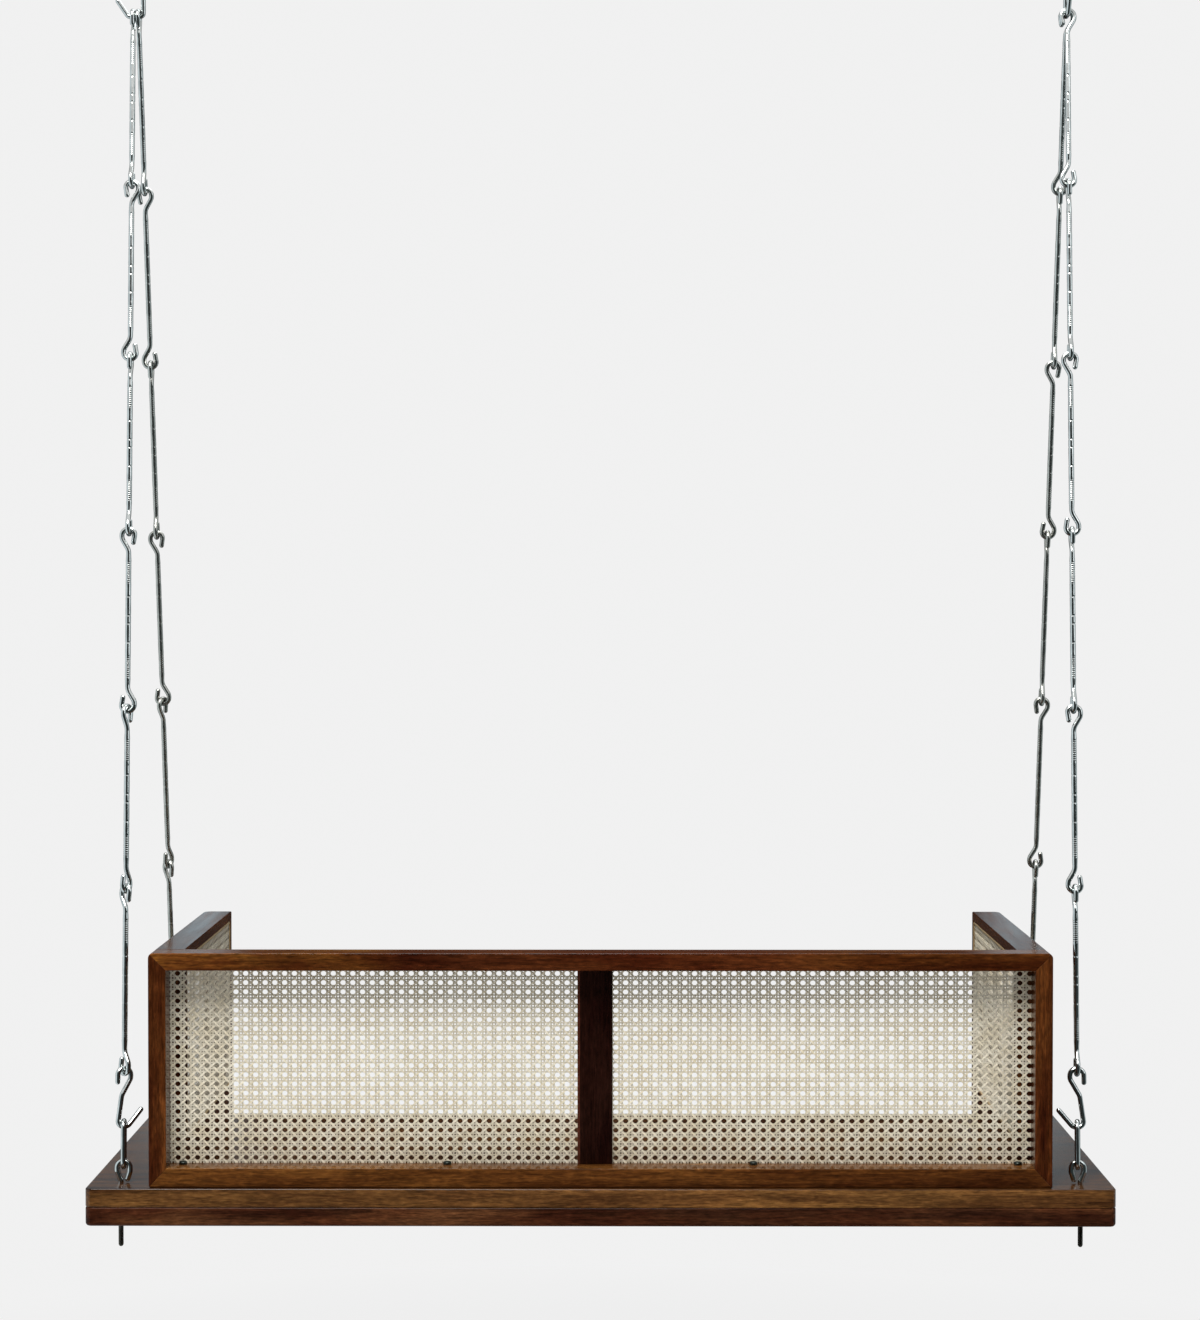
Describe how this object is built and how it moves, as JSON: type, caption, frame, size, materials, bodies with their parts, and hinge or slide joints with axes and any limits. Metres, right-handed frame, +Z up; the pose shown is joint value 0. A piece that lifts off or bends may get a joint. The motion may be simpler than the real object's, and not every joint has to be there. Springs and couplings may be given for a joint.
{
  "type": "jhoola swing",
  "caption": "Hanging bench swing: a two-layer wooden seat with caned back and box arms, hung from two ceiling plates by chains of long hooked steel rods.",
  "frame": {"origin": "on the ceiling plane, midway between the centres of the two ceiling plates, straight above the swing axis", "axes": "+Z up, out of the ceiling faces of the plates; +X from the left plate to the right plate, along the seat; +Y the way the sitter faces"},
  "size_m": [1.538, 0.61, 2.039],
  "materials": {
    "seat_wood": "gloss",
    "frame_wood": "gloss",
    "cane": "matte",
    "dark_screws": "satin",
    "plated_steel": "polished"
  },
  "bodies": {
    "ceiling_plates": {"left_ceiling_plate": "plated_steel", "right_ceiling_plate": "plated_steel"},
    "top_rings": {"left_top_ring": "plated_steel", "right_top_ring": "plated_steel"},
    "left_chains": {"left_top_hook": "plated_steel", "left_rods_1": "plated_steel", "left_rods_2": "plated_steel", "left_rods_3": "plated_steel", "left_rods_4": "plated_steel", "left_rods_5": "plated_steel", "left_rods_6": "plated_steel", "left_rear_hook": "plated_steel", "left_front_hook": "plated_steel", "left_rear_ring": "plated_steel", "left_front_ring": "plated_steel"},
    "seat": {"seat_board": "seat_wood", "seat_rear_rail": "seat_wood", "seat_front_rail": "seat_wood", "seat_left_rail": "seat_wood", "seat_right_rail": "seat_wood", "seat_battens": "seat_wood", "back_top_rail": "frame_wood", "back_bottom_rail": "frame_wood", "back_left_stile": "frame_wood", "back_right_stile": "frame_wood", "back_centre_stile": "frame_wood", "left_arm_top_rail": "frame_wood", "left_arm_bottom_rail": "frame_wood", "left_arm_front_stile": "frame_wood", "left_arm_rear_stile": "frame_wood", "right_arm_top_rail": "frame_wood", "right_arm_bottom_rail": "frame_wood", "right_arm_front_stile": "frame_wood", "right_arm_rear_stile": "frame_wood", "arm_dowels": "frame_wood", "back_left_cane": "cane", "back_right_cane": "cane", "left_arm_cane": "cane", "right_arm_cane": "cane", "back_bolts": "dark_screws", "frame_screws": "dark_screws", "arm_screws": "dark_screws", "left_rear_eye_bolt": "plated_steel", "left_front_eye_bolt": "plated_steel", "right_rear_eye_bolt": "plated_steel", "right_front_eye_bolt": "plated_steel", "eye_bolt_washers": "plated_steel", "eye_bolt_nuts": "plated_steel"},
    "right_chains": {"right_top_hook": "plated_steel", "right_rods_1": "plated_steel", "right_rods_2": "plated_steel", "right_rods_3": "plated_steel", "right_rods_4": "plated_steel", "right_rods_5": "plated_steel", "right_rods_6": "plated_steel", "right_rear_hook": "plated_steel", "right_front_hook": "plated_steel", "right_rear_ring": "plated_steel", "right_front_ring": "plated_steel"}
  },
  "joints": [
    {"name": "swing", "type": "hinge", "parent": "ceiling_plates", "child": "top_rings", "pos_m": [0, 0, -0.0361], "axis": [1, 0, 0], "range_deg": [-25, 25]},
    {"name": "sway", "type": "hinge", "parent": "top_rings", "child": "left_chains", "pos_m": [-0.727, 0, -0.0801], "axis": [0, 1, 0], "range_deg": [-5, 5]},
    {"name": "seat_left_pivot", "type": "hinge", "parent": "left_chains", "child": "seat", "pos_m": [-0.712, 0, -1.916], "axis": [0, 1, 0], "range_deg": [-5.2, 5.2]},
    {"name": "seat_right_pivot", "type": "hinge", "parent": "seat", "child": "right_chains", "pos_m": [0.712, 0, -1.916], "axis": [0, 1, 0], "range_deg": [-5.2, 5.2]}
  ],
  "couplings": [
    {"joint": "seat_left_pivot", "follows": "sway", "ratio": -1.0211},
    {"joint": "seat_right_pivot", "follows": "sway", "ratio": 1.0211}
  ]
}
